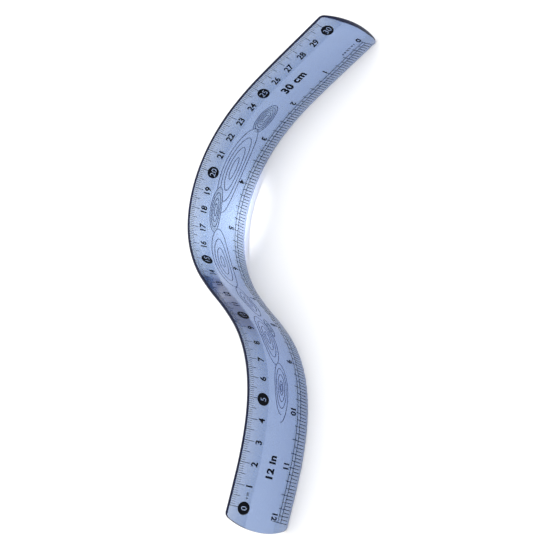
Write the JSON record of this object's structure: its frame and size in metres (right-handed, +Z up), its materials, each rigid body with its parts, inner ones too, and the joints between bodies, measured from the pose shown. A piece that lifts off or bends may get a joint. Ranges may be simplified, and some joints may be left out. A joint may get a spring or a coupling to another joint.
{
  "type": "flexible ruler",
  "caption": "Flexible clear plastic ruler with a centimetre scale on one edge and an inch scale on the other, standing on its long edge in an S-bend.",
  "frame": {"origin": "middle of the bounding box's foot, on the surface that the ruler stands on", "axes": "+X along the ruler from the 0 cm end to the 30 cm end, +Z up across its width from the inch edge to the centimetre edge, -Y towards the printed face"},
  "size_m": [0.2457, 0.0878, 0.035],
  "materials": {
    "strip": "clear tinted PVC, polished",
    "ink": "screen-printed dark ink"
  },
  "bodies": {
    "length_01": {"strip_01": "strip", "metric_scale_01": "ink", "inch_scale_01": "ink"},
    "length_02": {"strip_02": "strip", "metric_scale_02": "ink", "inch_scale_02": "ink", "size_mark_inch": "ink"},
    "length_03": {"strip_03": "strip", "metric_scale_03": "ink", "inch_scale_03": "ink", "oval_pattern_03": "ink"},
    "length_04": {"strip_04": "strip", "metric_scale_04": "ink", "inch_scale_04": "ink", "oval_pattern_04": "ink"},
    "length_05": {"strip_05": "strip", "metric_scale_05": "ink", "inch_scale_05": "ink", "oval_pattern_05": "ink"},
    "length_06": {"strip_06": "strip", "metric_scale_06": "ink", "inch_scale_06": "ink", "oval_pattern_06": "ink"},
    "length_07": {"strip_07": "strip", "metric_scale_07": "ink", "inch_scale_07": "ink", "oval_pattern_07": "ink"},
    "length_08": {"strip_08": "strip", "metric_scale_08": "ink", "inch_scale_08": "ink", "oval_pattern_08": "ink"},
    "length_09": {"strip_09": "strip", "metric_scale_09": "ink", "inch_scale_09": "ink", "oval_pattern_09": "ink"},
    "length_10": {"strip_10": "strip", "metric_scale_10": "ink", "inch_scale_10": "ink", "oval_pattern_10": "ink"},
    "length_11": {"strip_11": "strip", "metric_scale_11": "ink", "inch_scale_11": "ink", "oval_pattern_11": "ink"},
    "length_12": {"strip_12": "strip", "metric_scale_12": "ink", "inch_scale_12": "ink", "oval_pattern_12": "ink"},
    "length_13": {"strip_13": "strip", "metric_scale_13": "ink", "inch_scale_13": "ink", "oval_pattern_13": "ink"},
    "length_14": {"strip_14": "strip", "metric_scale_14": "ink", "inch_scale_14": "ink", "size_mark_metric": "ink"},
    "length_15": {"strip_15": "strip", "metric_scale_15": "ink", "inch_scale_15": "ink"}
  },
  "joints": [
    {"name": "bend_01", "type": "hinge", "parent": "length_02", "child": "length_01", "pos_m": [-0.09827, -0.04219, 0.0175], "axis": [0, 0, -1], "range_deg": [-17, 6.7]},
    {"name": "bend_02", "type": "hinge", "parent": "length_03", "child": "length_02", "pos_m": [-0.07829, -0.04197, 0.0175], "axis": [0, 0, -1], "range_deg": [-26.2, 3.7]},
    {"name": "bend_03", "type": "hinge", "parent": "length_04", "child": "length_03", "pos_m": [-0.05877, -0.03785, 0.0175], "axis": [0, 0, -1], "range_deg": [-33.4, 2.1]},
    {"name": "bend_04", "type": "hinge", "parent": "length_05", "child": "length_04", "pos_m": [-0.04111, -0.02862, 0.0175], "axis": [0, 0, -1], "range_deg": [-37, 3.3]},
    {"name": "bend_05", "type": "hinge", "parent": "length_06", "child": "length_05", "pos_m": [-0.02689, -0.01466, 0.0175], "axis": [0, 0, -1], "range_deg": [-33.7, 10.6]},
    {"name": "bend_06", "type": "hinge", "parent": "length_07", "child": "length_06", "pos_m": [-0.01571, 0.00191, 0.0175], "axis": [0, 0, -1], "range_deg": [-24.2, 22.9]},
    {"name": "bend_07", "type": "hinge", "parent": "length_08", "child": "length_07", "pos_m": [-0.00471, 0.01861, 0.0175], "axis": [0, 0, -1], "range_deg": [-12.9, 35.7]},
    {"name": "bend_08", "type": "hinge", "parent": "length_08", "child": "length_09", "pos_m": [0.00931, 0.03276, 0.0175], "axis": [0, 0, 1], "range_deg": [-4.2, 44.8]},
    {"name": "bend_09", "type": "hinge", "parent": "length_09", "child": "length_10", "pos_m": [0.02732, 0.04114, 0.0175], "axis": [0, 0, 1], "range_deg": [-0.7, 47.3]},
    {"name": "bend_10", "type": "hinge", "parent": "length_10", "child": "length_11", "pos_m": [0.04718, 0.0417, 0.0175], "axis": [0, 0, 1], "range_deg": [-0.7, 45.1]},
    {"name": "bend_11", "type": "hinge", "parent": "length_11", "child": "length_12", "pos_m": [0.0658, 0.03473, 0.0175], "axis": [0, 0, 1], "range_deg": [-2.7, 39.7]},
    {"name": "bend_12", "type": "hinge", "parent": "length_12", "child": "length_13", "pos_m": [0.08128, 0.02217, 0.0175], "axis": [0, 0, 1], "range_deg": [-6.3, 31.7]},
    {"name": "bend_13", "type": "hinge", "parent": "length_13", "child": "length_14", "pos_m": [0.09364, 0.00647, 0.0175], "axis": [0, 0, 1], "range_deg": [-10.7, 22.1]},
    {"name": "bend_14", "type": "hinge", "parent": "length_14", "child": "length_15", "pos_m": [0.1044, -0.01039, 0.0175], "axis": [0, 0, 1], "range_deg": [-12.5, 14.4]}
  ]
}
